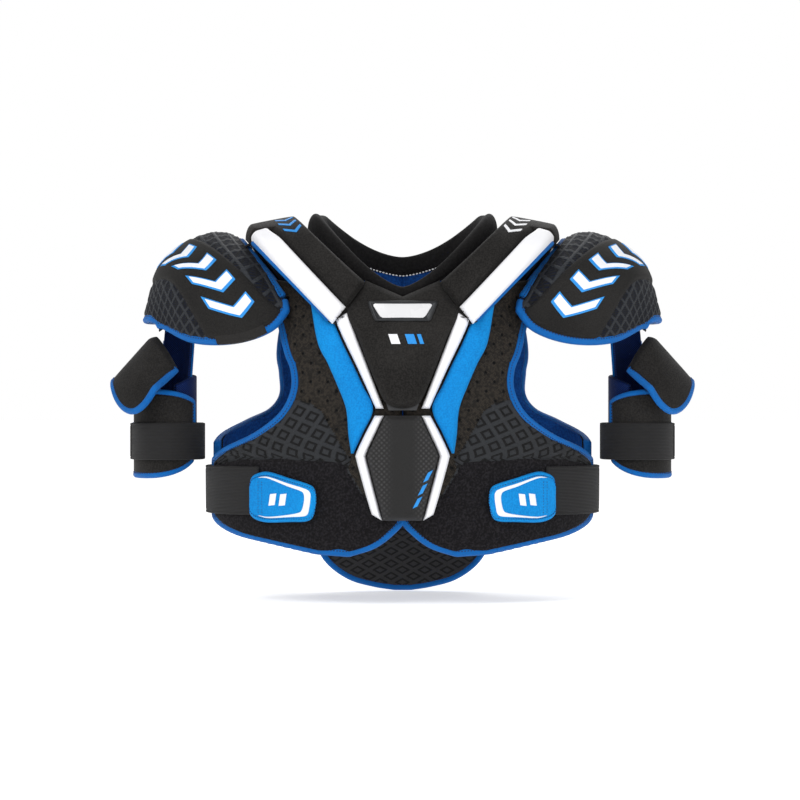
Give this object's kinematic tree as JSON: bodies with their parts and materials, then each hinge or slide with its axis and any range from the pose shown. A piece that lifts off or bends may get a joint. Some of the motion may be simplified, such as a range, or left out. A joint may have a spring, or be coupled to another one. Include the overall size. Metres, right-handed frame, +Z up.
{
  "type": "hockey shoulder pads",
  "caption": "Padded vest with a two-part sternum guard, arch pads, hinged shoulder caps, bicep guards and elastic rib straps.",
  "frame": {"origin": "centre of the neck opening, at the height where the arch pads rest on the shoulders", "axes": "+X towards the wearer's left, -Y the front, +Z up towards the head"},
  "size_m": [0.69, 0.3236, 0.4635],
  "materials": {
    "black_knit": "smooth black knit over foam",
    "moulded_black": "compression-moulded foam with a satin black skin",
    "spacer_mesh": "dark spacer mesh with an embossed diamond lattice",
    "inner_lining": "navy wicking lining",
    "white_trim": "white film trim",
    "bright_blue": "bright blue coated fabric",
    "blue_binding": "stretch edge binding",
    "elastic": "ribbed black elastic webbing",
    "insert_plate": "natural moulded polyethylene",
    "badge_rim": "soft grey moulding",
    "badge_face": "white moulded plate"
  },
  "bodies": {
    "vest": {"front_liner": "inner_lining", "back_liner": "inner_lining", "spine_pad": "black_knit", "spine_blocks": "moulded_black", "arch_plates": "insert_plate", "collar": "black_knit", "sternum_upper": "moulded_black", "sternum_upper_trim": "white_trim", "sternum_plate": "insert_plate", "badge_frame": "badge_rim", "badge_plate": "badge_face", "front_panel_right": "spacer_mesh", "front_binding_right": "blue_binding", "back_panel_right": "spacer_mesh", "back_binding_right": "blue_binding", "arch_pad_right": "black_knit", "arch_stripe_right": "white_trim", "chest_wing_right": "bright_blue", "rib_strap_anchor_right": "elastic", "cap_webbing_right": "elastic", "front_panel_left": "spacer_mesh", "front_binding_left": "blue_binding", "back_panel_left": "spacer_mesh", "back_binding_left": "blue_binding", "arch_pad_left": "black_knit", "arch_stripe_left": "white_trim", "chest_wing_left": "bright_blue", "rib_strap_anchor_left": "elastic", "cap_webbing_left": "elastic"},
    "sternum_guard": {"sternum_lower": "moulded_black", "sternum_lower_trim": "white_trim"},
    "tail": {"tail_flap": "spacer_mesh", "tail_binding": "blue_binding"},
    "right_cap": {"cap_cover_right": "black_knit", "cap_plate_right": "insert_plate", "cap_binding_right": "blue_binding"},
    "right_sling": {"bicep_sling_right": "inner_lining"},
    "right_flap": {"bicep_flap_right": "black_knit", "flap_binding_right": "blue_binding"},
    "right_cuff": {"bicep_cuff_right": "black_knit", "cuff_binding_right": "blue_binding", "cuff_liner_right": "inner_lining", "bicep_band_right": "elastic"},
    "right_cuff_tab": {"bicep_tab_right": "elastic"},
    "right_rib_strap": {"rib_strap_end_right": "elastic", "rib_tab_right": "bright_blue"},
    "left_cap": {"cap_cover_left": "black_knit", "cap_plate_left": "insert_plate", "cap_binding_left": "blue_binding"},
    "left_sling": {"bicep_sling_left": "inner_lining"},
    "left_flap": {"bicep_flap_left": "black_knit", "flap_binding_left": "blue_binding"},
    "left_cuff": {"bicep_cuff_left": "black_knit", "cuff_binding_left": "blue_binding", "cuff_liner_left": "inner_lining", "bicep_band_left": "elastic"},
    "left_cuff_tab": {"bicep_tab_left": "elastic"},
    "left_rib_strap": {"rib_strap_end_left": "elastic", "rib_tab_left": "bright_blue"}
  },
  "joints": [
    {"name": "sternum_guard_lift", "type": "hinge", "parent": "vest", "child": "sternum_guard", "pos_m": [0, -0.14757, -0.215], "axis": [-1, 0, 0], "range_deg": [0, 18]},
    {"name": "tail_lift", "type": "hinge", "parent": "vest", "child": "tail", "pos_m": [0, 0.13375, -0.331], "axis": [1, 0, 0], "range_deg": [0, 30]},
    {"name": "right_cap_lift", "type": "hinge", "parent": "vest", "child": "right_cap", "pos_m": [-0.1922, 0, -0.0015], "axis": [0, 1, 0], "range_deg": [0, 70]},
    {"name": "right_arm_swing", "type": "hinge", "parent": "right_cap", "child": "right_sling", "pos_m": [-0.2725, 0, -0.112], "axis": [-1, 0, 0], "range_deg": [-20, 25]},
    {"name": "right_flap_lift", "type": "hinge", "parent": "right_sling", "child": "right_flap", "pos_m": [-0.306, 0, -0.118], "axis": [0, 1, 0], "range_deg": [0, 45]},
    {"name": "right_cuff_slide", "type": "slide", "parent": "right_sling", "child": "right_cuff", "axis": [0, 0, -1], "range_m": [0, 0.025]},
    {"name": "right_cuff_tab_open", "type": "hinge", "parent": "right_cuff", "child": "right_cuff_tab", "pos_m": [-0.32554, -0.01235, -0.246], "axis": [0, 0, 1], "range_deg": [0, 75]},
    {"name": "right_rib_strap_open", "type": "hinge", "parent": "vest", "child": "right_rib_strap", "pos_m": [-0.21468, -0.06058, -0.303], "axis": [0, 0, -1], "range_deg": [0, 60]},
    {"name": "left_cap_lift", "type": "hinge", "parent": "vest", "child": "left_cap", "pos_m": [0.1922, 0, -0.0015], "axis": [0, -1, 0], "range_deg": [0, 70]},
    {"name": "left_arm_swing", "type": "hinge", "parent": "left_cap", "child": "left_sling", "pos_m": [0.2725, 0, -0.112], "axis": [-1, 0, 0], "range_deg": [-20, 25]},
    {"name": "left_flap_lift", "type": "hinge", "parent": "left_sling", "child": "left_flap", "pos_m": [0.306, 0, -0.118], "axis": [0, -1, 0], "range_deg": [0, 45]},
    {"name": "left_cuff_slide", "type": "slide", "parent": "left_sling", "child": "left_cuff", "axis": [0, 0, -1], "range_m": [0, 0.025]},
    {"name": "left_cuff_tab_open", "type": "hinge", "parent": "left_cuff", "child": "left_cuff_tab", "pos_m": [0.32554, -0.01235, -0.246], "axis": [0, 0, -1], "range_deg": [0, 75]},
    {"name": "left_rib_strap_open", "type": "hinge", "parent": "vest", "child": "left_rib_strap", "pos_m": [0.21468, -0.06058, -0.303], "axis": [0, 0, 1], "range_deg": [0, 60]}
  ]
}
